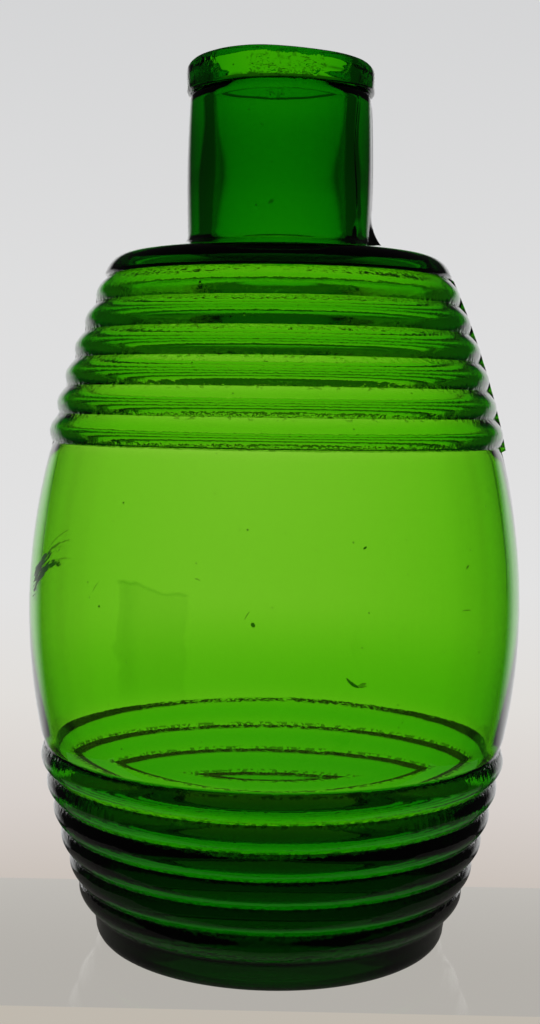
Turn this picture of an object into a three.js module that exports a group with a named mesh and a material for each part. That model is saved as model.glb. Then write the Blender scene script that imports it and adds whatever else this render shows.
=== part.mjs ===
// Barrel-shaped glass bottle with a wide neck: a body blown in a hooped mould, and a lip that was laid
// round the end of the neck as a second gather of glass.
// Millimetres, +Z up. The origin is the centre of the foot, on the surface that the bottle stands on.
import * as THREE from "three";

// Whole bottle
const overallHeight = 200;
const glassSeam = 0.3; // between the two gathers of glass
const facetsRound = 48;

// Barrel: the smooth belly, the hooped ends and the inside each follow a bow of their own
const bellyRadius = 56.1;
const bellyHeight = 76.1;
const bellyWall = 2.4;
const bellyBowRadius = 135.5;
const hoopBowRadius = 169;
const innerBowRadius = 152;

// Hoops: two groups of rounded rings, which the mould left on the outside only
const hoopsPerGroup = 6;
const hoopDepth = 1.27;
const hoopStandProud = 0.37;
const lowerHoopPitch = 6.11;
const upperHoopPitch = 6.32;
const barrelTop = 150.1;

// Foot: a plain band over a rounded heel, and a push-up inside a flat bearing ring
const footRadius = 39.8;
const footBandHeight = 7.3;
const footBandFlare = 0.7;
const heelRound = 3.2;
const bearingRingWidth = 9.4;
const pushUpHeight = 4.6;
const baseThickness = 6.4;
const floorCrown = 3.2;
const innerHeelRound = 9;

// Shoulder: a short round, then a shallow cone up to the neck
const shoulderRadius = 39.9;
const shoulderRound = 6;
const shoulderSink = 1; // of the round's middle, under the top of the barrel
const shoulderStep = 0.25;
const shoulderSlope = THREE.MathUtils.degToRad(11);
const shoulderWall = 3;
const innerShoulderRound = 4;

// Neck
const neckFootRadius = 21;
const neckTopRadius = 20.8;
const neckSwell = 0.4;
const neckFootFillet = 2.4;
const neckWall = 5.2;
const boreFlareRound = 5;

// Lip: its skirt hangs round the drawn-in end of the neck, and its cap covers the cut edge
const lipStandProud = 0.85; // of the neck's top
const lipHeight = 7.7;
const lipCap = 2.9;
const lipTopRound = 2.4;
const lipFootRound = 0.8;
const mouthRound = 1.5;
const neckEndInset = 1.6;
const neckEndRound = 0.6;

// How finely the profiles are stepped
const facetsPerHoop = 4;
const facetsPerArc = 4;
const facetsPerSmallArc = 2;
const facetsPerWall = 8;

const quarterTurn = Math.PI / 2;
const point = (radius, height) => new THREE.Vector2(radius, height);
const last = (points) => points[points.length - 1];

// An arc of a profile. Its angles start at the outward direction and grow towards +Z.
function arc(centre, round, from, to, facets = facetsPerArc) {
  return Array.from({ length: facets + 1 }, (_, i) => {
    const angle = THREE.MathUtils.lerp(from, to, i / facets);
    return point(centre.x + round * Math.cos(angle), centre.y + round * Math.sin(angle));
  });
}

// A stretch of a profile whose radius is known at each height.
function wall(radiusAt, from, to, facets = facetsPerWall) {
  return Array.from({ length: facets + 1 }, (_, i) => {
    const height = THREE.MathUtils.lerp(from, to, i / facets);
    return point(radiusAt(height), height);
  });
}

// A round dome over the axis, from its middle out to its edge.
function dome(edgeRadius, edgeHeight, rise) {
  const round = (edgeRadius ** 2 + rise ** 2) / (2 * rise);
  return Array.from({ length: facetsPerArc + 1 }, (_, i) => {
    const radius = (edgeRadius * i) / facetsPerArc;
    return point(radius, edgeHeight + rise - round + Math.sqrt(round ** 2 - radius ** 2));
  });
}

// How far a bowed wall has drawn in from its widest place, at a height.
const drawnIn = (height, bowRadius) => (height - bellyHeight) ** 2 / (2 * bowRadius);
const bellyAt = (height) => bellyRadius - drawnIn(height, bellyBowRadius);
const hoopCrestAt = (height) => bellyRadius + hoopStandProud - drawnIn(height, hoopBowRadius);
const innerWallAt = (height) => bellyRadius - bellyWall - drawnIn(height, innerBowRadius);

// A group of hoops from its lowest valley upwards: rounded beads with narrow valleys between them.
function hoops(bottom, pitch) {
  const surfaceAt = (height) => {
    const bead = Math.abs(Math.sin((Math.PI * (height - bottom)) / pitch));
    return hoopCrestAt(height) - hoopDepth * (1 - bead);
  };
  return wall(surfaceAt, bottom, bottom + pitch * hoopsPerGroup, hoopsPerGroup * facetsPerHoop);
}

// Where a cone that rises inwards from a point reaches a radius.
function upTheCone(start, radius) {
  return point(radius, start.y + (start.x - radius) * Math.tan(shoulderSlope));
}

// Sizes that both gathers of glass share
const boreRadius = neckTopRadius - neckWall;
const lipRadius = neckTopRadius + lipStandProud;
const neckEndRadius = neckTopRadius - neckEndInset;
const lipFoot = overallHeight - lipHeight;
const lipPocketTop = overallHeight - lipCap;
const neckStep = lipFoot - glassSeam;
const neckEnd = lipPocketTop - glassSeam;

// The outside of the body, from the middle of the push-up out and up to the end of the neck.
function bodyOutside() {
  const bearingOuter = footRadius - heelRound;
  const bearingInner = bearingOuter - bearingRingWidth;
  const lowerHoopsTop = footBandHeight + lowerHoopPitch * hoopsPerGroup;
  const upperHoopsBottom = barrelTop - upperHoopPitch * hoopsPerGroup;

  const shoulderCentre = point(shoulderRadius - shoulderRound, barrelTop - shoulderSink);
  const shoulderStart = Math.asin((shoulderSink + shoulderStep) / shoulderRound);
  const shoulder = arc(shoulderCentre, shoulderRound, shoulderStart, quarterTurn - shoulderSlope);
  const filletRadius = neckFootRadius + neckFootFillet;
  const coneTop = upTheCone(last(shoulder), filletRadius - neckFootFillet * Math.sin(shoulderSlope));
  const filletCentre = point(filletRadius, coneTop.y + neckFootFillet * Math.cos(shoulderSlope));
  const neckAt = (height) => {
    const share = (height - filletCentre.y) / (neckStep - filletCentre.y);
    const taper = THREE.MathUtils.lerp(neckFootRadius, neckTopRadius, share);
    return taper + neckSwell * Math.sin(Math.PI * share);
  };
  const neckEndCentre = point(neckEndRadius - neckEndRound, neckEnd - neckEndRound);

  return [
    ...dome(bearingInner, 0, pushUpHeight),
    ...arc(point(bearingOuter, heelRound), heelRound, -quarterTurn, 0),
    point(footRadius + footBandFlare, footBandHeight),
    ...hoops(footBandHeight, lowerHoopPitch).slice(1),
    ...wall(bellyAt, lowerHoopsTop, upperHoopsBottom).slice(1, -1),
    ...hoops(upperHoopsBottom, upperHoopPitch),
    ...shoulder,
    ...arc(filletCentre, neckFootFillet, -quarterTurn - shoulderSlope, -2 * quarterTurn),
    ...wall(neckAt, filletCentre.y, neckStep).slice(1),
    point(neckEndRadius, neckStep),
    ...arc(neckEndCentre, neckEndRound, 0, quarterTurn, facetsPerSmallArc),
  ];
}

// The inside of the body, from the end of the neck down to the middle of the floor.
function bodyInside() {
  const shoulderFoot = barrelTop - shoulderSink + shoulderRound - shoulderWall - innerShoulderRound;
  const shoulderCentre = point(innerWallAt(shoulderFoot) - innerShoulderRound, shoulderFoot);
  const shoulder = arc(shoulderCentre, innerShoulderRound, quarterTurn - shoulderSlope, 0);
  const flareRadius = boreRadius + boreFlareRound;
  const coneTop = upTheCone(shoulder[0], flareRadius - boreFlareRound * Math.sin(shoulderSlope));
  const flareCentre = point(flareRadius, coneTop.y + boreFlareRound * Math.cos(shoulderSlope));

  const floorHeight = pushUpHeight + baseThickness;
  const heelTop = floorHeight - floorCrown + innerHeelRound;
  const heelCentre = point(innerWallAt(heelTop) - innerHeelRound, heelTop);

  return [
    point(boreRadius, neckEnd),
    ...arc(flareCentre, boreFlareRound, 2 * quarterTurn, 3 * quarterTurn - shoulderSlope),
    ...shoulder,
    ...wall(innerWallAt, shoulderFoot, heelTop).slice(1, -1),
    ...arc(heelCentre, innerHeelRound, 0, -quarterTurn),
    ...dome(heelCentre.x, floorHeight - floorCrown, floorCrown).reverse().slice(1),
  ];
}

// The lip's section: a pocket in its underside takes the end of the neck, and its bore carries on the neck's.
function lipSection() {
  const pocketRadius = neckEndRadius + glassSeam;
  const footCentre = point(lipRadius - lipFootRound, lipFoot + lipFootRound);
  const topCentre = point(lipRadius - lipTopRound, overallHeight - lipTopRound);
  const mouthCentre = point(boreRadius + mouthRound, overallHeight - mouthRound);
  const section = [
    point(pocketRadius, lipFoot),
    ...arc(footCentre, lipFootRound, -quarterTurn, 0, facetsPerSmallArc),
    ...arc(topCentre, lipTopRound, 0, quarterTurn),
    ...arc(mouthCentre, mouthRound, quarterTurn, 2 * quarterTurn),
    point(boreRadius, lipPocketTop),
    point(pocketRadius, lipPocketTop),
  ];
  return [...section, section[0]];
}

// A piece of glass turned from its profile. A lathe turns about +Y, so the piece is stood up on +Z.
function turned(name, profile, glass) {
  const piece = new THREE.Mesh(new THREE.LatheGeometry(profile, facetsRound), glass);
  piece.name = name;
  piece.rotation.x = quarterTurn;
  return piece;
}

const bodyGlass = new THREE.MeshStandardMaterial({
  color: 0x2f8f10,
  roughness: 0.05,
  metalness: 0,
  transparent: true,
  opacity: 0.7,
});
const lipGlass = new THREE.MeshStandardMaterial({
  color: 0x1f7a12,
  roughness: 0.08,
  metalness: 0,
  transparent: true,
  opacity: 0.8,
});

const bottle = new THREE.Group();
bottle.add(turned("bottle_body", [...bodyOutside(), ...bodyInside()], bodyGlass));
bottle.add(turned("applied_lip", lipSection(), lipGlass));

export default bottle;
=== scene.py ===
"""Looks of the barrel-shaped bottle: clear green glass blown in a hooped mould, with a lip laid on by hand.

The bottle is two closed pieces of glass, as in the CAD: the blown body and the lip. An outline in Python gives each
its sizes, and a Geometry Nodes tree turns it round the axis and adds what the mould and the maker's hand left on it.
Everything is in metres, apart from the marks on the glass.
"""

import logging
import math
from dataclasses import dataclass, field
from enum import Enum
from typing import Callable, Dict, List, Sequence, Tuple, Union

import bmesh
import bpy
import numpy as np
from bpy.types import Material, Node, NodeSocket as Socket, NodeTree, Object
from mathutils import Matrix, Vector


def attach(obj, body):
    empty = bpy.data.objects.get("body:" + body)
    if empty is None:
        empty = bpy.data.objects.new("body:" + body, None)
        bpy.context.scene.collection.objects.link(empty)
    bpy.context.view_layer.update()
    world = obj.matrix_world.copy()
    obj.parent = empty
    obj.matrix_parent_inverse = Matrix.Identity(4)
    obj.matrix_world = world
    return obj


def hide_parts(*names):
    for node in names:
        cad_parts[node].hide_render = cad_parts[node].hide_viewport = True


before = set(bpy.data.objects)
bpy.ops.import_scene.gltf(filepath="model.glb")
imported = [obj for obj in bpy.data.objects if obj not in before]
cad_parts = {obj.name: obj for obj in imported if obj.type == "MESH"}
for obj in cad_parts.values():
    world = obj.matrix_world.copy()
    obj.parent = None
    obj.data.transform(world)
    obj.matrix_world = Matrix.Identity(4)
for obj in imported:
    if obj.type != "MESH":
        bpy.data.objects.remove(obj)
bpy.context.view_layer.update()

MM = 0.001
QUARTER = math.pi / 2
PIXELS_WIDE = 540
PIXELS_HIGH = 1024
LOG = logging.getLogger("bottle")

Colour = Tuple[float, float, float]
Point = Tuple[float, float]
Span = Tuple[float, float]
Profile = List[Point]
Given = Union["Term", Socket, float, Sequence[float], str, None]


class Kind(Enum):
    """The kinds of node tree, by Blender's names."""

    GEOMETRY = "GeometryNodeTree"
    SHADER = "ShaderNodeTree"


class Term:
    """A link in a node tree. One that carries a number takes part in arithmetic."""

    def __init__(self, graph: "Graph", socket: Socket) -> None:
        """Keeps the link and the tree it is in."""
        self.graph = graph
        self.socket = socket

    def __add__(self, other: Given) -> "Term":
        """The sum."""
        return self.graph.math("ADD", self, other)

    def __sub__(self, other: Given) -> "Term":
        """The difference."""
        return self.graph.math("SUBTRACT", self, other)

    def __rsub__(self, other: Given) -> "Term":
        """The difference, the other way round."""
        return self.graph.math("SUBTRACT", other, self)

    def __mul__(self, other: Given) -> "Term":
        """The product."""
        return self.graph.math("MULTIPLY", self, other)

    def __truediv__(self, other: Given) -> "Term":
        """The quotient."""
        return self.graph.math("DIVIDE", self, other)

    def __pow__(self, other: Given) -> "Term":
        """The power."""
        return self.graph.math("POWER", self, other)

    def __abs__(self) -> "Term":
        """The size without its sign."""
        return self.graph.math("ABSOLUTE", self)

    __radd__ = __add__
    __rmul__ = __mul__


@dataclass
class Graph:
    """A node tree, with short ways to add nodes and join them."""

    tree: NodeTree

    def node(self, kind: str, *given: Given, **settings: object) -> Node:
        """Adds a node.

        Args:
            kind: Blender's name of the node's type.
            given: a value or a link for each of its inputs in turn, or None to leave one alone.
            settings: the node's own properties.

        Returns:
            The new node.
        """
        node = self.tree.nodes.new(kind)
        for name, value in settings.items():
            setattr(node, name, value)
        for socket, value in zip(node.inputs, given):
            self.fill(socket, value)
        return node

    def fill(self, socket: Socket, value: Given) -> None:
        """Links a socket to another, or sets its value.

        Args:
            socket: the socket.
            value: a link or a value for it, or None to leave it alone.
        """
        if isinstance(value, Term):
            value = value.socket
        if isinstance(value, Socket):
            self.tree.links.new(value, socket)
        elif value is not None:
            socket.default_value = value

    def term(self, socket: Socket) -> Term:
        """Makes a link ready for arithmetic."""
        return Term(self, socket)

    def first(self, kind: str, *given: Given, **settings: object) -> Term:
        """Adds a node, as above, and returns its first output."""
        return self.term(self.node(kind, *given, **settings).outputs[0])

    def math(self, operation: str, *given: Given) -> Term:
        """Adds a Math node and returns its result."""
        return self.first("ShaderNodeMath", *given, operation=operation)

    def parts(self, vector: Given) -> Tuple[Term, Term, Term]:
        """Splits a vector into its three numbers."""
        x, y, z = self.node("ShaderNodeSeparateXYZ", vector).outputs
        return self.term(x), self.term(y), self.term(z)

    def joined(self, x: Given, y: Given, z: Given) -> Term:
        """Joins three numbers into a vector."""
        return self.first("ShaderNodeCombineXYZ", x, y, z)

    def fade(self, value: Given, start: Given, end: Given) -> Term:
        """A smooth step, from 0 where the value is at start to 1 where it is at end."""
        return self.first("ShaderNodeMapRange", value, start, end, 0.0, 1.0, interpolation_type="SMOOTHSTEP")

    def bell(self, value: Given, middle: Given, spread: Given) -> Term:
        """A bell curve, 1 at its middle."""
        off = self.math("SUBTRACT", value, middle) / spread
        return self.math("EXPONENT", off * off * -1.0)

    def noise(self, place: Given, scale: Given, detail: float = 2.0, seed: Given = 0.0) -> Term:
        """A noise from about -1 to 1, at a scale in waves per metre."""
        return self.first("ShaderNodeTexNoise", place, seed, scale, detail, noise_dimensions="4D") * 2.0 - 1.0

    def attribute(self, name: str) -> Term:
        """Reads one of a mesh's own numbers."""
        return self.first("GeometryNodeInputNamedAttribute", name, data_type="FLOAT")

    def kept(self, mesh: Term, name: str, value: Term) -> Term:
        """Keeps a value on a mesh by name, for its material to read."""
        return self.first("GeometryNodeStoreNamedAttribute", mesh, True, name, value, data_type="FLOAT", domain="POINT")

    def sampled(self, mesh: Socket, value: Given, row: Term, kind: str = "FLOAT") -> Term:
        """Reads a value from one point of a mesh."""
        return self.first("GeometryNodeSampleIndex", mesh, value, row, data_type=kind, domain="POINT")

    def group(self, tree: NodeTree, *given: Given) -> List[Term]:
        """Adds a node group and returns what it puts out."""
        node = self.node(tree.bl_idname.replace("Tree", "Group"), *given, node_tree=tree)
        return [self.term(socket) for socket in node.outputs]


def new_group(name: str, kind: Kind, inputs: Dict[str, str], outputs: Dict[str, str]) -> Tuple[Graph, Dict[str, Term]]:
    """Starts a node group.

    Args:
        name: its name.
        kind: the kind of its tree.
        inputs: the name and the type of each input.
        outputs: the name and the type of each output.

    Returns:
        The group's graph, and its inputs by name.
    """
    tree = bpy.data.node_groups.new(name, kind.value)
    for way, sockets in (("INPUT", inputs), ("OUTPUT", outputs)):
        for title, socket in sockets.items():
            tree.interface.new_socket(title, in_out=way, socket_type=f"NodeSocket{socket}")
    graph = Graph(tree)
    node = graph.node("NodeGroupInput")
    return graph, {title: graph.term(node.outputs[title]) for title in inputs}


@dataclass
class BottleSizes:
    """The bottle's sizes, which both pieces of glass share."""

    height: float = 200 * MM
    joint: float = 0.06 * MM
    belly_radius: float = 55.98 * MM
    belly_height: float = 76.1 * MM
    belly_bow: float = 135.5 * MM
    hoop_bow: float = 169 * MM
    hoop_depth: float = 1.27 * MM
    hoop_proud: float = 0.37 * MM
    hoops: int = 6
    lower_pitch: float = 6.11 * MM
    upper_pitch: float = 6.32 * MM
    barrel_top: float = 150.1 * MM
    foot_radius: float = 39.8 * MM
    foot_band: float = 7.3 * MM
    foot_flare: float = 0.7 * MM
    heel_round: float = 3.2 * MM
    bearing_ring: float = 9.4 * MM
    push_up: float = 4.6 * MM
    shoulder_radius: float = 39.9 * MM
    shoulder_round: float = 6 * MM
    shoulder_sink: float = 1 * MM
    shoulder_step: float = 0.25 * MM
    shoulder_slope: float = math.radians(11)
    neck_foot: float = 21 * MM
    neck_top: float = 20.8 * MM
    neck_swell: float = 0.4 * MM
    neck_fillet: float = 2.4 * MM
    neck_wall: float = 5.2 * MM
    lip_radius: float = 21.65 * MM
    lip_height: float = 7.7 * MM
    lip_top_round: float = 2.4 * MM
    lip_foot_round: float = 0.8 * MM
    mouth_round: float = 1.5 * MM
    hoop_rows: int = 16
    valley_share: float = 0.015

    def drawn_in(self, height: float, bow: float) -> float:
        """How far a bowed wall has drawn in from its widest place, at a height."""
        return (height - self.belly_height) ** 2 / (2 * bow)

    def belly(self, height: float) -> float:
        """The smooth belly's radius at a height."""
        return self.belly_radius - self.drawn_in(height, self.belly_bow)

    def crest(self, height: float) -> float:
        """The radius of the hoops' crests at a height."""
        return self.belly_radius + self.hoop_proud - self.drawn_in(height, self.hoop_bow)

    def valley(self, height: float) -> float:
        """The radius of the valleys between the hoops at a height."""
        return self.crest(height) - self.hoop_depth

    def group(self, foot: float, pitch: float) -> Profile:
        """The outline of a group of hoops as if all were valley, stepped closely where two beads meet.

        Args:
            foot: the height of its foot.
            pitch: the height of one hoop.

        Returns:
            Its points, without the first.
        """
        inner = [j / self.hoop_rows for j in range(1, self.hoop_rows)]
        shares = [self.valley_share, *inner, 1 - self.valley_share, 1.0]
        heights = [foot + pitch * (i + share) for i in range(self.hoops) for share in shares]
        return [(self.valley(z), z) for z in heights]

    def cone(self, foot: Point, neck: float, turn: float) -> Tuple[Point, Point]:
        """Where the shoulder's cone ends, and the round that turns it up into the neck begins.

        Args:
            foot: the cone's foot.
            neck: the neck's radius.
            turn: the radius of the round.

        Returns:
            The cone's top, and the middle of the round.
        """
        radius = neck + turn - turn * math.sin(self.shoulder_slope)
        height = foot[1] + (foot[0] - radius) * math.tan(self.shoulder_slope)
        return (radius, height), (neck + turn, height + turn * math.cos(self.shoulder_slope))

    @property
    def lower_top(self) -> float:
        """The top of the lower hoops."""
        return self.foot_band + self.lower_pitch * self.hoops

    @property
    def upper_foot(self) -> float:
        """The foot of the upper hoops."""
        return self.barrel_top - self.upper_pitch * self.hoops

    @property
    def bore(self) -> float:
        """The radius of the neck's bore."""
        return self.neck_top - self.neck_wall

    @property
    def lip_foot(self) -> float:
        """The height of the lip's lower edge."""
        return self.height - self.lip_height


def arc(centre: Point, radius: float, start: float, end: float, steps: int) -> Profile:
    """Steps along an arc of a profile.

    Args:
        centre: its centre, as radius and height.
        radius: its radius.
        start: the angle it starts at, from the outward direction towards +Z.
        end: the angle it ends at.
        steps: how many steps it takes.

    Returns:
        Its points, both ends among them.
    """
    angles = np.linspace(start, end, steps + 1)
    return [(centre[0] + radius * math.cos(a), centre[1] + radius * math.sin(a)) for a in angles]


def wall(radius_at: Callable[[float], float], start: float, end: float, steps: int) -> Profile:
    """Steps along a stretch of a profile whose radius is known at each height, both ends among them."""
    return [(radius_at(z), z) for z in np.linspace(start, end, steps + 1)]


def straight(start: Point, end: Point, steps: int) -> Profile:
    """Steps along a straight stretch of a profile, without its ends."""
    shares = np.linspace(0, 1, steps + 1)[1:-1]
    return [tuple(np.array(start) + share * (np.array(end) - np.array(start))) for share in shares]


def eased(value: float, start: float, end: float) -> float:
    """A smooth step in Python, from 0 where the value is at start to 1 where it is at end."""
    share = min(1.0, max(0.0, (value - start) / (end - start)))
    return share * share * (3 - 2 * share)


def dome(edge: float, height: float, rise: float, steps: int) -> Profile:
    """Steps along a round dome over the axis, from its middle out to its edge.

    Args:
        edge: the radius of its edge.
        height: the height of its edge.
        rise: how far its middle stands over its edge.
        steps: how many steps it takes.

    Returns:
        Its points, the middle first.
    """
    sphere = (edge**2 + rise**2) / (2 * rise)
    radii = np.linspace(0, edge, steps + 1)
    return [(r, height + rise - sphere + math.sqrt(sphere**2 - r**2)) for r in radii]


@dataclass
class TurnedGlass:
    """The Geometry Nodes tree that turns an outline round the axis and shapes it as the mould and the maker did.

    A span runs from where an effect is 0 to where it is full, and waves are a noise's waves per metre.
    """

    sizes: BottleSizes
    bunching: float = 0.4
    slack: float = 0.001
    wobble_waves: float = 260.0
    low_span: Span = (70 * MM, 50 * MM)
    neck_span: Span = (148 * MM, 154 * MM)
    web_span: Span = (170 * MM, 162 * MM)
    left_seam: float = 0.35
    side_span: Span = (-0.1, 0.1)
    drift_waves: float = 26.0
    inside_span: Span = (150 * MM, 130 * MM)
    back_span: Span = (70 * MM, 45 * MM)
    axis_span: Span = (2 * MM, 14 * MM)
    waist_spread: float = 9 * MM
    waist_waves: float = 30.0
    tool_reach: float = 2 * MM
    tool_waves: float = 150.0
    tool_stretch: float = 3.5
    patch_waves: float = 75.0
    patch_span: Span = (0.05, 0.3)
    droop_span: Span = (0.2, 1.0)
    fold_spread: float = 1.2 * MM
    fold_waves: float = 1.6
    seed_stretch: float = 1.4
    weld: float = 0.002 * MM
    values: Dict[str, float] = field(default_factory=dict)

    def __post_init__(self) -> None:
        """Lists the tree's named inputs, with the value of each."""
        s = self.sizes
        self.values = {
            "Columns": 217,
            "Seed": 3.0,
            "Hoops": float(s.hoops),
            "Hoop Depth": s.hoop_depth,
            "Lower Foot": s.foot_band,
            "Lower Pitch": s.lower_pitch,
            "Upper Foot": s.upper_foot,
            "Upper Pitch": s.upper_pitch,
            "Mould Wobble": 0.03 * MM,
            "Low Wobble": 0.14 * MM,
            "Seam Half Width": 1.6 * MM,
            "Outside Drift": 0.04 * MM,
            "Inside Drift": 0.06 * MM,
            "Off Centre": 0.15 * MM,
            "Toward Front": 1.0 * MM,
            "Bore Waist": 0.85 * MM,
            "Waist Height": 180 * MM,
            "Lip Foot": s.lip_foot,
            "Lip Droop": 0.8 * MM,
            "Lip Wave": 0.35 * MM,
            "Tooling": 0.26 * MM,
        }

    def build(self) -> NodeTree:
        """Builds the tree.

        Returns:
            The tree, whose incoming mesh holds the outline as points in a row, and each seed as a loose point.
        """
        inputs = {"Geometry": "Geometry", "Glass": "Material"}
        inputs.update({name: "Int" if isinstance(value, int) else "Float" for name, value in self.values.items()})
        graph, given = new_group("turned_glass", Kind.GEOMETRY, inputs, {"Geometry": "Geometry"})
        seed_size = graph.attribute("seed_size")
        is_seed = graph.first("FunctionNodeCompare", seed_size, 0.0, operation="GREATER_THAN")
        split = graph.node("GeometryNodeSeparateGeometry", given["Geometry"], is_seed, domain="POINT")
        glass = self.turned(graph, given, split.outputs["Inverted"])

        # A seed is a small hollow: a ball of air that the glass caught as it was blown.
        hollow = graph.first("GeometryNodeFlipFaces", graph.first("GeometryNodeMeshIcoSphere", 1.0, 2))
        seeds = graph.node("GeometryNodeInstanceOnPoints", split.outputs["Selection"], True, hollow)
        graph.fill(seeds.inputs["Scale"], graph.joined(seed_size, seed_size, seed_size * self.seed_stretch))
        join = graph.node("GeometryNodeJoinGeometry")
        graph.fill(join.inputs[0], seeds.outputs[0])
        graph.fill(join.inputs[0], glass)
        plain = graph.first("GeometryNodeRealizeInstances", join.outputs[0])
        smooth = graph.first("GeometryNodeSetShadeSmooth", plain, True, True)
        graph.node("NodeGroupOutput", graph.first("GeometryNodeSetMaterial", smooth, True, given["Glass"]))
        return graph.tree

    def turned(self, graph: Graph, given: Dict[str, Term], outline: Socket) -> Term:
        """Turns the outline round the axis.

        Args:
            graph: the tree's graph.
            given: the tree's inputs.
            outline: the outline's points.

        Returns:
            The closed skin of glass.
        """
        rows = graph.first("GeometryNodeAttributeDomainSize", outline, component="MESH")
        grid = graph.first("GeometryNodeMeshGrid", 1.0, 1.0, given["Columns"], rows)
        place = graph.first("GeometryNodeInputPosition")
        across, along, _ = graph.parts(place)
        row = graph.math("ROUND", (along + 0.5) * (rows - 1.0))
        even = (across + 0.5) * math.tau
        angle = even - graph.math("SINE", even * 2.0) * self.bunching
        cosine, sine = graph.math("COSINE", angle), graph.math("SINE", angle)
        radius, _, height = graph.parts(graph.sampled(outline, place, row, "FLOAT_VECTOR"))
        outside = graph.sampled(outline, graph.attribute("outside"), row)
        fin = graph.sampled(outline, graph.attribute("fin"), row)
        inside = 1.0 - outside
        spot = graph.joined(cosine * radius, sine * radius, height)

        # What the mould left: hoops that wobble, and a seam that is stronger on the right and webs the neck.
        wobble = graph.noise(spot, self.wobble_waves, 2.0, given["Seed"] + 4.0)
        wobble = wobble * (given["Mould Wobble"] + given["Low Wobble"] * graph.fade(height, *self.low_span))
        bead = hoops = 0.0
        for group in ("Lower", "Upper"):
            share = (height + wobble - given[f"{group} Foot"]) / given[f"{group} Pitch"]
            above = graph.math("GREATER_THAN", share, -self.slack)
            within = above * graph.math("LESS_THAN", share, given["Hoops"] + self.slack)
            bead = bead + abs(graph.math("SINE", share * math.pi)) * within
            hoops = hoops + within
        bead, hoops = bead * outside, hoops * outside
        raised = radius + given["Hoop Depth"] * bead
        up = graph.fade(height, *self.neck_span)
        left = self.left_seam * (1.0 - up)
        side = left + graph.fade(cosine, *self.side_span) * (1.0 - left)
        width = given["Seam Half Width"] * (1.0 + 2.0 * up * graph.fade(height, *self.web_span))
        bell = 1.0 - graph.fade(abs(sine) * radius, 0.0, width)
        ridge = graph.math("MAXIMUM", fin - raised, 0.0) * bell * side

        # What the breath left: walls that drift, an inside off the axis and a waist in the bore.
        drift = graph.noise(spot, self.drift_waves, 1.0, given["Seed"] + outside * 9.0)
        drift = drift * (given["Outside Drift"] * outside + given["Inside Drift"] * inside)
        low = graph.fade(height, *self.inside_span) * inside
        back = graph.fade(height, *self.back_span) * given["Toward Front"] * sine
        shifted = (given["Off Centre"] * cosine + back) * low
        uneven = 1.0 + graph.noise(spot, self.waist_waves, 0.0, 5.0)
        waist = graph.bell(height, given["Waist Height"], self.waist_spread) * uneven

        # What the tool left on the lip: strokes, rough patches, a droop and a wavy edge.
        tooled = graph.fade(height, given["Lip Foot"] - self.tool_reach, given["Lip Foot"] + self.tool_reach)
        stroke = graph.joined(cosine * radius, sine * radius, height * self.tool_stretch)
        tooling = graph.noise(stroke, self.tool_waves, 2.0, given["Seed"]) * tooled * given["Tooling"]
        patches = graph.fade(graph.noise(spot, self.patch_waves, 1.0, 6.0), *self.patch_span) * tooled
        droop = graph.fade(cosine * 0.8 - sine * 0.6, *self.droop_span)
        droop = droop * graph.fade(height, given["Lip Foot"], self.sizes.height)
        fold = graph.bell(height, given["Lip Foot"], self.fold_spread)
        fold = fold * graph.noise(graph.joined(cosine, sine, 0.0), self.fold_waves, 1.0, 2.0)

        guard = graph.fade(radius, *self.axis_span)
        away = (drift - shifted - given["Bore Waist"] * inside * waist + tooling) * guard
        full = raised + ridge + away
        lowered = height - given["Lip Droop"] * droop + given["Lip Wave"] * fold
        # How pitted the glass is, most in the hoops' valleys. It shapes the pits' bumps and also places the painted
        # shade in the valleys.
        pitted = hoops * (0.15 * bead ** 6.0 + (1.0 - bead) ** 3.0) + patches
        kept = graph.kept(graph.kept(grid, "pitted", pitted), "outside", outside)
        moved = graph.first("GeometryNodeSetPosition", kept, True, graph.joined(cosine * full, sine * full, lowered))
        return graph.first("GeometryNodeMergeByDistance", moved, True, self.weld)

    def make(self, name: str, rows: "Outline", glass: Material, seeds: Sequence[Tuple[float, ...]] = ()) -> Object:
        """Turns one piece of glass.

        Args:
            name: the piece's name.
            rows: its outline.
            glass: its material.
            seeds: the place and the size of each seed in it.

        Returns:
            The piece, as a plain mesh whose faces look outwards.
        """
        count = len(rows.points)
        mesh = bpy.data.meshes.new(name)
        verts = [(r, 0.0, z) for r, z in rows.points] + [tuple(seed[:3]) for seed in seeds]
        mesh.from_pydata(verts, [(i, i + 1) for i in range(count - 1)], [])
        none, sizes = [0.0] * len(seeds), [0.0] * count + [seed[3] for seed in seeds]
        for title, values in (("outside", rows.outside + none), ("fin", rows.fin + none), ("seed_size", sizes)):
            mesh.attributes.new(title, "FLOAT", "POINT").data.foreach_set("value", values)
        rough = bpy.data.objects.new(name, mesh)
        bpy.context.scene.collection.objects.link(rough)
        tree = bpy.data.node_groups.get("turned_glass") or self.build()
        turn = rough.modifiers.new("turn", "NODES")
        turn.node_group = tree
        wanted = {**self.values, "Glass": glass}
        for socket in tree.interface.items_tree:
            if socket.in_out == "INPUT" and socket.name in wanted:
                turn[socket.identifier] = wanted[socket.name]
        depsgraph = bpy.context.evaluated_depsgraph_get()
        plain = bpy.data.meshes.new_from_object(rough.evaluated_get(depsgraph), depsgraph=depsgraph)
        rough.modifiers.remove(turn)
        rough.data = plain
        bpy.data.meshes.remove(mesh)
        plain.name = name
        for title in ("fin", "seed_size"):
            if title in plain.attributes:
                plain.attributes.remove(plain.attributes[title])
        form = bmesh.new()
        form.from_mesh(plain)
        if form.calc_volume(signed=True) < 0:
            plain.flip_normals()
        form.free()
        return rough


@dataclass
class Outline:
    """An outline for the tree: its points, which of them are on the outside, and how far the mould seam stands."""

    points: Profile
    outside: List[float]
    fin: List[float]


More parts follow.
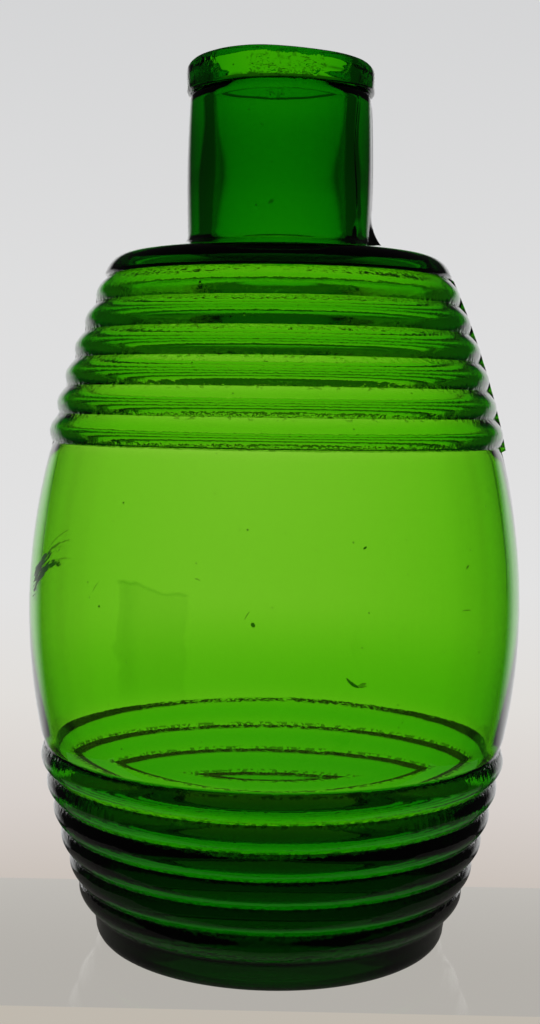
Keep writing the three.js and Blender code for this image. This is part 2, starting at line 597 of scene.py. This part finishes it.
@dataclass(frozen=True)
class GreenGlass:
    """Clear yellow-green bottle glass. The absorption is per metre of glass, in red, green and blue."""

    name: str
    index: float = 1.5
    absorption: Colour = (504.0, 140.0, 1246.0)
    roughness: float = 0.0
    pit_depth: float = 0.2 * MM

    def make(self, skin: NodeTree) -> Material:
        """Makes the material: a clear surface round a volume that takes the light in.

        Args:
            skin: the node group that marks the glass.

        Returns:
            The material.
        """
        material = bpy.data.materials.new(self.name)
        material.use_nodes = True
        graph = Graph(material.node_tree)
        shader = graph.tree.nodes["Principled BSDF"]
        shader.inputs["IOR"].default_value = self.index
        shader.inputs["Transmission Weight"].default_value = 1.0
        place = graph.node("ShaderNodeTexCoord").outputs["Object"]
        pitted = graph.node("ShaderNodeAttribute", attribute_name="pitted").outputs["Fac"]
        outside = graph.node("ShaderNodeAttribute", attribute_name="outside").outputs["Fac"]
        tint, roughness, height = graph.group(skin, place, pitted, outside, self.roughness)
        bump = graph.node("ShaderNodeBump", 1.0, self.pit_depth)
        graph.fill(bump.inputs["Height"], height)
        for title, value in (("Base Color", tint), ("Roughness", roughness), ("Normal", bump.outputs[0])):
            graph.fill(shader.inputs[title], value)
        density = max(self.absorption)
        passed = (*(1 - a / density for a in self.absorption), 1)
        volume = graph.first("ShaderNodeVolumeAbsorption", passed, density)
        graph.fill(graph.tree.nodes["Material Output"].inputs["Volume"], volume)
        return material


@dataclass(frozen=True)
class Mark:
    """A dark mark on the front of the glass: x and z of both ends, its width and its bow, all in millimetres."""

    ends: Tuple[float, float, float, float]
    width: float
    bow: float = 0.0
    dark: float = 1.0
    edge: Span = (1.15, 0.7)

    def drawn(self, graph: Graph, x: Term, z: Term, ragged: Term) -> Term:
        """Draws the mark: a bowed stroke that thins out towards both its ends.

        Args:
            graph: the group's graph.
            x: how far right a place is.
            z: how high a place is.
            ragged: what frays its edge.

        Returns:
            How dark the mark makes a place.
        """
        left, foot, right, top = (number * MM for number in self.ends)
        width, bow = self.width * MM, self.bow * MM
        long, tall = right - left, top - foot
        length = math.hypot(long, tall)
        across, up = x - left, z - foot
        along = (across * long + up * tall) / length**2
        middle = along - 0.5
        aside = (up * long - across * tall) / length
        if bow:
            aside = aside - (1.0 - middle * middle * 4.0) * bow
        off = aside / width
        return graph.fade(off * off + middle * middle * 4.0 + ragged, *self.edge) * self.dark


@dataclass
class GlassSkin:
    """The node group of what lies on the glass: mould pits, specks, a dark brushed streak and a faint stain, and
    painted shade in the hoops' valleys.
    """

    pit_waves: float = 750.0
    ragged_waves: float = 1500.0
    hair_waves: Tuple[float, float] = (260.0, 1500.0)
    # The painted shade in the hoops' valleys: the noise that breaks it up, where it starts, and where it deepens low
    # down.
    patchy_shade_waves: float = 800.0
    patchy_shade_span: Span = (0.12, 0.34)
    valley_shade_span: Span = (0.2, 0.6)
    low_span: Span = (60 * MM, 50 * MM)
    # The near-black green of the specks and marks, and of the painted shade in the valleys.
    mark_and_shade_tint: Tuple[float, ...] = (0.012, 0.05, 0.004, 1)
    grit_cell: float = 7 * MM
    grit_size: float = 0.42 * MM
    dust_cell: float = 4 * MM
    dust_size: float = 0.33 * MM
    left_out: float = 0.35
    stain_tint: Tuple[float, ...] = (0.52, 0.66, 0.40, 1)
    stain_left: float = -31.4 * MM
    stain_right: float = -17.0 * MM
    stain_top: float = 85.6 * MM
    stain_fall: float = 0.13
    stain_foot: float = 63.0 * MM
    stain_waves: float = 130.0
    stain_wander: float = 2.4 * MM
    stain_end: Span = (-1 * MM, 1 * MM)
    stain_weights: Tuple[float, float, float] = (0.34, 0.5, 0.32)
    brush: Tuple[Mark, ...] = (
        Mark((-52.6, 77.6, -45.4, 90.6), 0.95, 2.1),
        Mark((-52.1, 80.8, -44.6, 88.0), 0.8, 1.0),
        Mark((-46.2, 86.3, -44.6, 87.3), 0.75),
        Mark((-50.6, 85.6, -42.6, 92.4), 0.26, 1.1, 0.75),
        Mark((-49.0, 88.4, -42.0, 94.8), 0.14, 0.9, 0.5),
        Mark((-48.0, 86.6, -42.2, 88.6), 0.16, 0.4, 0.5),
    )
    marks: Tuple[Mark, ...] = (
        Mark((-4.3, 78.1, -3.6, 78.5), 0.5),
        Mark((-5.6, 79.2, -4.6, 80.9), 0.12, 0.1, 0.7),
        Mark((-15.6, 86.8, -14.4, 86.4), 0.14, 0.15, 0.6),
        Mark((17.5, 93.0, 18.2, 93.5), 0.22),
        Mark((14.4, 68.0, 17.3, 65.8), 0.32, -0.3),
        Mark((14.9, 67.0, 18.6, 66.2), 0.3, -0.45, 0.8),
        Mark((17.0, 66.4, 18.5, 66.7), 0.3, 0.0, 0.8),
        Mark((-2.4, 164.8, -1.1, 165.7), 0.42, 0.0, 0.7),
        Mark((-4.1, 182.0, -3.9, 182.1), 0.25),
        Mark((-37.0, 82.4, -35.6, 84.6), 0.1, 0.1, 0.6),
        Mark((38.4, 79.6, 40.6, 79.5), 0.12, 0.1, 0.8),
        Mark((39.4, 88.0, 40.0, 88.8), 0.2, 0.0, 0.9),
    )

    def build(self) -> NodeTree:
        """Builds the group.

        Returns:
            The group, which takes a place, how pitted it is, whether it is outside and how rough it is, and puts out
            a tint, with painted shade in the hoops' valleys, a roughness and a height.
        """
        graph, given = new_group(
            "glass_skin", Kind.SHADER,
            {"Place": "Vector", "Pits And Shade": "Float", "Outside": "Float", "Roughness": "Float"},
            {"Tint": "Color", "Roughness": "Float", "Height": "Float"},
        )
        place, outside, pitted = given["Place"], given["Outside"], given["Pits And Shade"]
        x, y, z = graph.parts(place)
        front = graph.math("LESS_THAN", y, 0.0) * outside
        ragged = graph.noise(place, self.ragged_waves, 1.0, 6.0)
        along, across = self.hair_waves
        brushed = graph.noise(graph.joined((x + z) * along, (x - z) * across, y * along), 1.0, 1.0, 3.0)
        grit = self.specks(graph, place, self.grit_cell, self.grit_size)
        dust = self.specks(graph, place, self.dust_cell, self.dust_size)
        dark = graph.math("MAXIMUM", grit, dust * 0.8) * outside
        for frayed, marks in ((ragged * 0.4, self.marks), (brushed * 1.6 + 0.2, self.brush)):
            for mark in marks:
                dark = graph.math("MAXIMUM", dark, mark.drawn(graph, x, z, frayed) * front)
        # Painted shade: where the valley mask is high the glass is tinted near-black green, broken up by a noise and
        # deeper below 60 mm. The lip's tooled patches darken with it.
        low = graph.fade(z, *self.low_span)
        rough = graph.fade(graph.noise(place, self.patchy_shade_waves, 1.0, 9.0) + low * 0.22, *self.patchy_shade_span)
        valley = graph.fade(pitted, *self.valley_shade_span) * rough
        dark = graph.math("MAXIMUM", dark, valley * (low * 0.25 + 0.6))
        pale = graph.node("ShaderNodeMix", self.stain(graph, place, x, z) * front, data_type="RGBA")
        pale.inputs["A"].default_value = (1, 1, 1, 1)
        pale.inputs["B"].default_value = self.stain_tint
        tint = graph.node("ShaderNodeMix", dark, data_type="RGBA")
        graph.fill(tint.inputs["A"], pale.outputs["Result"])
        tint.inputs["B"].default_value = self.mark_and_shade_tint
        height = graph.noise(place, self.pit_waves, 2.0, 1.0) * pitted
        roughness = given["Roughness"] + dark * 0.3
        graph.node("NodeGroupOutput", tint.outputs["Result"], roughness, height)
        return graph.tree

    def specks(self, graph: Graph, place: Given, cell: float, size: float) -> Term:
        """Scatters specks, about one to a cell, of which some are left out and no two are the same size.

        Args:
            graph: the group's graph.
            place: the place on the glass.
            cell: the size of a cell.
            size: the size of the largest speck.

        Returns:
            How dark the specks make a place.
        """
        node = graph.node("ShaderNodeTexVoronoi", place, None, 1 / cell)
        chance, much, _ = graph.parts(node.outputs["Color"])
        edge = graph.math("MAXIMUM", (much * 0.9 + 0.1) * (size / cell), 1e-4)
        speck = graph.fade(node.outputs["Distance"], edge, edge * 0.5)
        return speck * graph.math("GREATER_THAN", chance, self.left_out)

    def stain(self, graph: Graph, place: Given, x: Term, z: Term) -> Term:
        """Draws the faint four-sided stain, darker along its uneven upper edge.

        Args:
            graph: the group's graph.
            place: the place on the glass.
            x: how far right it is.
            z: how high it is.

        Returns:
            How strong the stain is at the place.
        """
        wander = graph.noise(place, self.stain_waves, 3.0, 2.0) * self.stain_wander
        top = self.stain_top - (x - self.stain_left) * self.stain_fall - z
        left, right = x - self.stain_left, self.stain_right - x
        edge = graph.math("MINIMUM", graph.math("MINIMUM", left, right), top) + wander
        fall = graph.fade(z, self.stain_foot - 5 * MM, self.stain_foot + 5 * MM)
        inside = graph.fade(edge, -0.3 * MM, 0.7 * MM) * fall
        line = graph.bell(top + wander, 0.5 * MM, 0.35 * MM) * graph.fade(left, *self.stain_end)
        line = line * graph.fade(right, *self.stain_end)
        band = graph.bell(left + wander, 2.4 * MM, 2.2 * MM) * inside
        within, upper, side = self.stain_weights
        return inside * within + line * upper + band * side


@dataclass
class BlownBody:
    """The body: foot, hooped barrel, shoulder and neck, one wall of glass that is hollow inside."""

    sizes: BottleSizes
    glass: GreenGlass = GreenGlass("body_glass")
    belly_wall: float = 1.6 * MM
    inner_bow: float = 138 * MM
    upper_inner_bow: float = 152 * MM
    low_thickening: float = 0.6 * MM
    foot_thickening: float = 3.0 * MM
    shoulder_wall: float = 2.6 * MM
    inner_shoulder_round: float = 9 * MM
    bore_flare: float = 5 * MM
    base_thickness: float = 3.8 * MM
    floor_crown: float = 2.2 * MM
    inner_heel: float = 7 * MM
    push_up_side: float = 4.1 * MM
    push_up_slope: float = math.radians(75)
    groove: float = 0.42 * MM
    groove_reach: float = 3.3 * MM
    low_groove: float = 0.6 * MM
    low_groove_reach: float = 4.0 * MM
    seeds: Tuple[Tuple[float, float, float, float], ...] = (
        (-15.9 * MM, -36.7 * MM, 146.0 * MM, 0.3 * MM),
        (-6.7 * MM, -42.0 * MM, 139.4 * MM, 0.26 * MM),
    )
    web_reach: float = 7.6 * MM
    web_height: float = 10 * MM
    cone_top: float = 155.4 * MM
    bow_span: Span = (106 * MM, 126 * MM)
    low_span: Span = (72 * MM, 46 * MM)
    foot_span: Span = (46 * MM, 8 * MM)
    neck_fin: float = 0.25 * MM
    hoop_fin: float = 0.35 * MM
    belly_fin: float = 0.6 * MM
    belly_fin_limit: float = 0.05 * MM
    low_fin: float = 0.7 * MM

    def inner(self, height: float) -> float:
        """The inner wall's radius, of a wall that thickens towards the foot.

        Args:
            height: the height.

        Returns:
            The radius there.
        """
        s = self.sizes
        bow = self.inner_bow + (self.upper_inner_bow - self.inner_bow) * eased(height, *self.bow_span)
        low = self.low_thickening * eased(height, *self.low_span)
        foot = self.foot_thickening * eased(height, *self.foot_span)
        return s.belly_radius - self.belly_wall - s.drawn_in(height, bow) - low - foot

    def smooth_belly(self, height: float) -> float:
        """The belly between the hoops, which rolls in to a groove where it meets them.

        Args:
            height: the height.

        Returns:
            The radius there.
        """
        s = self.sizes
        over = self.groove * max(0.0, 1 - (s.upper_foot - height) / self.groove_reach) ** 2
        under = self.low_groove * max(0.0, 1 - (height - s.lower_top) / self.low_groove_reach) ** 2
        return s.belly(height) - over - under

    def outer_profile(self) -> Profile:
        """The outside, from the middle of the push-up out and up to the neck's end. The hoops are still valleys.

        Returns:
            Its points. The last number of each stretch is how many steps it takes.
        """
        s = self.sizes
        bearing_outer = s.foot_radius - s.heel_round
        bearing_inner = bearing_outer - s.bearing_ring
        middle = (s.shoulder_radius - s.shoulder_round, s.barrel_top - s.shoulder_sink)
        start = math.asin((s.shoulder_sink + s.shoulder_step) / s.shoulder_round)
        shoulder = arc(middle, s.shoulder_round, start, QUARTER - s.shoulder_slope, 14)
        cone_top, fillet = s.cone(shoulder[-1], s.neck_foot, s.neck_fillet)
        end = s.lip_foot - s.joint
        roll_top, roll_foot = s.lower_top + self.low_groove_reach, s.upper_foot - self.groove_reach
        side_foot = bearing_inner - self.push_up_side / math.tan(self.push_up_slope)

        def band(z: float) -> float:
            """The foot band's radius at a height."""
            return s.foot_radius + s.foot_flare * (z - s.heel_round) / (s.foot_band - s.heel_round)

        def neck(z: float) -> float:
            """The neck's radius at a height."""
            share = (z - fillet[1]) / (end - fillet[1])
            return s.neck_foot + (s.neck_top - s.neck_foot) * share + s.neck_swell * math.sin(math.pi * share)

        return [
            *dome(side_foot, self.push_up_side, s.push_up - self.push_up_side, 8),
            *straight((side_foot, self.push_up_side), (bearing_inner, 0.0), 5),
            (bearing_inner, 0.0),
            *straight((bearing_inner, 0.0), (bearing_outer, 0.0), 3),
            *arc((bearing_outer, s.heel_round), s.heel_round, -QUARTER, 0, 7),
            *wall(band, s.heel_round, s.foot_band, 4)[1:],
            *s.group(s.foot_band, s.lower_pitch),
            *wall(self.smooth_belly, s.lower_top, roll_top, 9)[1:],
            *wall(self.smooth_belly, roll_top, roll_foot, 30)[1:],
            *wall(self.smooth_belly, roll_foot, s.upper_foot, 7)[1:],
            *s.group(s.upper_foot, s.upper_pitch),
            *shoulder,
            *straight(shoulder[-1], cone_top, 7),
            *arc(fillet, s.neck_fillet, -QUARTER - s.shoulder_slope, -2 * QUARTER, 8),
            *wall(neck, fillet[1], end, 26)[1:],
            *straight((s.neck_top, end), (s.bore, end), 5),
        ]

    def inner_profile(self) -> Profile:
        """The inside, from the neck's end down to the middle of the floor.

        Returns:
            Its points.
        """
        s = self.sizes
        foot = s.barrel_top - s.shoulder_sink + s.shoulder_round - self.shoulder_wall - self.inner_shoulder_round
        middle = (self.inner(foot) - self.inner_shoulder_round, foot)
        shoulder = arc(middle, self.inner_shoulder_round, QUARTER - s.shoulder_slope, 0, 8)
        cone_top, flare = s.cone(shoulder[0], s.bore, self.bore_flare)
        floor = s.push_up + self.base_thickness
        heel_top = floor - self.floor_crown + self.inner_heel
        heel = (self.inner(heel_top) - self.inner_heel, heel_top)
        return [
            *wall(lambda z: s.bore, s.lip_foot - s.joint, flare[1], 16)[:-1],
            *arc(flare, self.bore_flare, 2 * QUARTER, 3 * QUARTER - s.shoulder_slope, 8),
            *straight(cone_top, shoulder[0], 6),
            *shoulder,
            *wall(self.inner, foot, heel_top, 44)[1:-1],
            *arc(heel, self.inner_heel, 0, -QUARTER, 9),
            *dome(heel[0], floor - self.floor_crown, self.floor_crown, 10)[-2::-1],
        ]

    def fin(self, height: float, radius: float) -> float:
        """The radius of the mould seam's crest.

        Args:
            height: the height.
            radius: the outside's radius there.

        Returns:
            The crest's radius there, or 0 where there is no seam.
        """
        s = self.sizes
        if s.upper_foot - 1 * MM <= height <= s.barrel_top:
            return s.crest(height) + self.hoop_fin
        if s.belly_height < height < s.upper_foot:
            rise = (height - s.belly_height) / (s.upper_foot - s.belly_height)
            return min(s.belly(height) + self.belly_fin * min(1.0, 2 * rise), s.belly_radius + self.belly_fin_limit)
        if s.foot_band <= height <= s.lower_top:
            return s.valley(height) + self.low_fin
        up = 1 - (height - self.cone_top) / self.web_height
        if 0.0 < up < 1.0:
            return s.neck_foot + self.neck_fin + self.web_reach * (1 - math.sqrt(1 - up**2))
        if s.barrel_top < height < s.lip_foot - 2 * MM:
            return radius + self.neck_fin
        return 0.0

    def build(self, tree: TurnedGlass, skin: NodeTree) -> Object:
        """Makes the body and stands it in for its CAD node.

        Args:
            tree: what turns the glass.
            skin: the node group that marks the glass.

        Returns:
            The body.
        """
        outer, inner = self.outer_profile(), self.inner_profile()
        none = [0.0] * len(inner)
        outline = Outline(outer + inner, [1.0] * len(outer) + none, [self.fin(z, r) for r, z in outer] + none)
        piece = tree.make("blown_body", outline, self.glass.make(skin), self.seeds)
        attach(piece, "root")
        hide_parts("bottle_body")
        return piece


@dataclass
class LaidLip:
    """The lip: a ring of glass laid on the end of the neck and pressed to shape with a tool."""

    sizes: BottleSizes
    glass: GreenGlass = GreenGlass("lip_glass")

    def profile(self) -> Profile:
        """The ring's section, once round from the bore's foot.

        Returns:
            Its points.
        """
        s = self.sizes
        lip_turn = (s.lip_radius - s.lip_foot_round, s.lip_foot + s.lip_foot_round)
        top_turn = (s.lip_radius - s.lip_top_round, s.height - s.lip_top_round)
        mouth = (s.bore + s.mouth_round, s.height - s.mouth_round)
        return [
            (s.bore, s.lip_foot),
            *straight((s.bore, s.lip_foot), (lip_turn[0], s.lip_foot), 5),
            *arc(lip_turn, s.lip_foot_round, -QUARTER, 0, 5),
            *straight((s.lip_radius, lip_turn[1]), (s.lip_radius, top_turn[1]), 6),
            *arc(top_turn, s.lip_top_round, 0, QUARTER, 9),
            *straight((top_turn[0], s.height), (mouth[0], s.height), 3),
            *arc(mouth, s.mouth_round, QUARTER, 2 * QUARTER, 6),
            *straight((s.bore, mouth[1]), (s.bore, s.lip_foot), 7),
            (s.bore, s.lip_foot),
        ]

    def build(self, tree: TurnedGlass, skin: NodeTree) -> Object:
        """Makes the lip and stands it in for its CAD node.

        Args:
            tree: what turns the glass.
            skin: the node group that marks the glass.

        Returns:
            The lip.
        """
        points = self.profile()
        outline = Outline(points, [1.0] * len(points), [0.0] * len(points))
        piece = tree.make("laid_lip", outline, self.glass.make(skin))
        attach(piece, "root")
        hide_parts("applied_lip")
        return piece


@dataclass
class Studio:
    """The shelf, the light and the camera, none of which are part of the bottle."""

    camera_distance: float = 350 * MM
    camera_height: float = 121.9 * MM
    camera_yaw: float = -0.01785
    camera_roll: float = 0.01416
    focal_pixels: float = 1513.8
    centre_x: float = 249.4
    centre_y: float = 400.6
    shelf_back: float = 33 * MM
    shelf_front: float = -47.5 * MM
    shelf_side: float = 0.12
    shelf_thickness: float = 30 * MM
    shelf_clear: float = 0.02 * MM
    shelf_colour: Colour = (0.30, 0.28, 0.26)
    shelf_roughness: float = 0.07
    # The front face's brighter glow is painted light, as if lit from the front.
    shelf_top: Colour = (0.44, 0.42, 0.39)
    shelf_lit_front: Colour = (0.52, 0.48, 0.42)
    shelf_dim: float = 0.18
    glow: float = 0.83
    room: float = 0.015
    around: float = 0.6
    gap: float = 0.16
    panel_half: float = 39.0
    panel_soft: float = 8.0
    panel_taper: float = 1.1
    panel_top: float = 17.0
    panel_foot: float = -17.0
    panel_foot_through: float = -36.0
    panel_fade: float = 4.0
    above: float = 0.17
    level_span: Span = (50.0, 30.0)
    aside_span: Span = (36.0, 46.0)
    beside_span: Span = (62.0, 74.0)
    above_span: Span = (-5.0, 5.0)
    steep_span: Span = (-54.0, -64.0)
    backdrop: Tuple[Tuple[float, Colour], ...] = (
        (-17.5, (0.585, 0.530, 0.485)),
        (-14.8, (0.680, 0.630, 0.600)),
        (-11.0, (0.760, 0.737, 0.710)),
        (-7.0, (0.768, 0.765, 0.765)),
        (4.0, (0.730, 0.730, 0.733)),
        (14.5, (0.665, 0.668, 0.675)),
    )

    def build(self) -> None:
        """Makes the shelf, the light and the camera, and sets how the picture is developed."""
        self.shelf()
        self.world()
        self.camera()
        bpy.context.scene.view_settings.view_transform = "Standard"
        cycles = bpy.context.scene.cycles
        cycles.max_bounces = 40
        cycles.transmission_bounces = 40
        cycles.glossy_bounces = 24
        cycles.diffuse_bounces = 4
        cycles.transparent_max_bounces = 24
        cycles.use_denoising = True
        cycles.caustics_reflective = True
        cycles.caustics_refractive = True
        cycles.blur_glossy = 0.3
        cycles.sample_clamp_indirect = 12.0

    def camera(self) -> None:
        """Makes the camera of the photograph: level, turned a little to the left and rolled a little."""
        cy, sy = math.cos(self.camera_yaw), math.sin(self.camera_yaw)
        cr, sr = math.cos(self.camera_roll), math.sin(self.camera_roll)
        right = Vector((cr * cy, -cr * sy, sr))
        up = Vector((-sr * cy, sr * sy, cr))
        ahead = Vector((sy, cy, 0.0))
        data = bpy.data.cameras.new("camera")
        data.sensor_width = 36.0
        data.lens = self.focal_pixels / PIXELS_HIGH * data.sensor_width
        data.shift_x = (PIXELS_WIDE / 2 - self.centre_x) / PIXELS_HIGH
        data.shift_y = (self.centre_y - PIXELS_HIGH / 2) / PIXELS_HIGH
        data.clip_start = 0.01
        camera = bpy.data.objects.new("camera", data)
        place = Matrix((right, up, -ahead)).transposed().to_4x4()
        place.translation = (0.0, -self.camera_distance, self.camera_height)
        camera.matrix_world = place
        bpy.context.scene.collection.objects.link(camera)
        bpy.context.scene.camera = camera

    def shelf(self) -> None:
        """Makes the pale, glossy shelf, which ends just behind the bottle, with a brighter glow on its front face as
        painted light.
        """
        heights, depths = (-self.shelf_thickness, -self.shelf_clear), (self.shelf_front, self.shelf_back)
        corners = [(x, y, z) for z in heights for y in depths for x in (-self.shelf_side, self.shelf_side)]
        faces = [(0, 2, 3, 1), (4, 5, 7, 6), (0, 1, 5, 4), (1, 3, 7, 5), (3, 2, 6, 7), (2, 0, 4, 6)]
        mesh = bpy.data.meshes.new("shelf")
        mesh.from_pydata(corners, [], faces)
        shelf = bpy.data.objects.new("shelf", mesh)
        bpy.context.scene.collection.objects.link(shelf)
        mesh.materials.append(self.shelf_finish("shelf_top", self.shelf_top))
        mesh.materials.append(self.shelf_finish("shelf_lit_front", self.shelf_lit_front))
        # Painted light: the front face glows brighter than the top, as if lit from the front.
        mesh.polygons[2].material_index = 1

    def shelf_finish(self, name: str, shine: Colour) -> Material:
        """Makes a glowing material of the shelf: pale, glossy, and dim where it is seen in the glass.

        Args:
            name: its name.
            shine: the light that it gives.

        Returns:
            The material.
        """
        material = bpy.data.materials.new(name)
        material.use_nodes = True
        graph = Graph(material.node_tree)
        shader = graph.tree.nodes["Principled BSDF"]
        shader.inputs["Base Color"].default_value = (*self.shelf_colour, 1)
        shader.inputs["Roughness"].default_value = self.shelf_roughness
        shader.inputs["Emission Color"].default_value = (*shine, 1)
        seen = graph.term(graph.node("ShaderNodeLightPath").outputs["Is Camera Ray"])
        graph.fill(shader.inputs["Emission Strength"], self.shelf_dim + seen * (1.0 - self.shelf_dim))
        return material

    def world(self) -> None:
        """Makes the light: a glowing panel behind the bottle, in a dim room, and the backdrop that the camera sees."""
        world = bpy.data.worlds.new("studio")
        world.use_nodes = True
        bpy.context.scene.world = world
        world.node_tree.nodes.clear()
        graph = Graph(world.node_tree)
        x, y, z = graph.parts(graph.node("ShaderNodeTexCoord").outputs["Generated"])
        azimuth = abs(graph.math("ARCTAN2", x, y)) * math.degrees(1)
        elevation = graph.math("ARCSINE", z) * math.degrees(1)
        half = self.panel_half - graph.math("MAXIMUM", elevation, 0.0) * self.panel_taper
        across = graph.fade(azimuth, half + self.panel_soft, half - self.panel_soft)
        over = graph.fade(elevation, self.panel_top + self.panel_fade, self.panel_top - self.panel_fade)
        path = graph.node("ShaderNodeLightPath").outputs
        passing = graph.term(path["Is Transmission Ray"])
        foot = self.panel_foot + passing * (self.panel_foot_through - self.panel_foot)
        under = graph.fade(elevation, foot - self.panel_fade, foot + self.panel_fade)
        panel = across * over * under * self.glow
        level = graph.fade(abs(elevation), *self.level_span)
        aside = graph.fade(azimuth, *self.aside_span) * level
        beside = graph.fade(azimuth, *self.beside_span) * level
        above = graph.fade(azimuth, *self.aside_span[::-1]) * graph.fade(elevation, *self.above_span) * level
        steep = graph.fade(elevation, *self.steep_span)
        through = aside * self.gap + beside * (self.around - self.gap) + (above + steep) * self.above
        room = self.room + passing * through
        light = graph.math("MAXIMUM", panel, room)
        unseen = graph.node("ShaderNodeBackground", (1, 1, 1, 1), light)
        seen = graph.node("ShaderNodeBackground", self.seen(graph, elevation), 1.0)
        both = graph.node("ShaderNodeMixShader", path["Is Camera Ray"], unseen.outputs[0], seen.outputs[0])
        graph.node("ShaderNodeOutputWorld", both.outputs[0])

    def seen(self, graph: Graph, elevation: Term) -> Socket:
        """Colours the backdrop by height: cool and a little dimmer at the top, warm and darker near the shelf.

        Args:
            graph: the world's graph.
            elevation: how far up the camera looks, in degrees.

        Returns:
            The colour.
        """
        lowest, highest = self.backdrop[0][0], self.backdrop[-1][0]
        ramp = graph.node("ShaderNodeValToRGB", graph.first("ShaderNodeMapRange", elevation, lowest, highest, 0.0, 1.0))
        stops = ramp.color_ramp.elements
        for i, (angle, colour) in enumerate(self.backdrop):
            place = (angle - lowest) / (highest - lowest)
            stop = stops[0] if i == 0 else stops.new(place) if 0 < i < len(self.backdrop) - 1 else stops[-1]
            stop.position = place
            stop.color = (*colour, 1)
        return ramp.outputs[0]


def main() -> None:
    """Builds the studio and the bottle, and notes each piece's triangles."""
    logging.basicConfig(level=logging.INFO, format="%(name)s: %(message)s")
    Studio().build()
    sizes = BottleSizes()
    tree = TurnedGlass(sizes)
    skin = GlassSkin().build()
    for part in (BlownBody(sizes), LaidLip(sizes)):
        piece = part.build(tree, skin)
        triangles = sum(len(face.vertices) - 2 for face in piece.data.polygons)
        LOG.info("%s: %d triangles", piece.name, triangles)


if __name__ == "__main__":
    main()
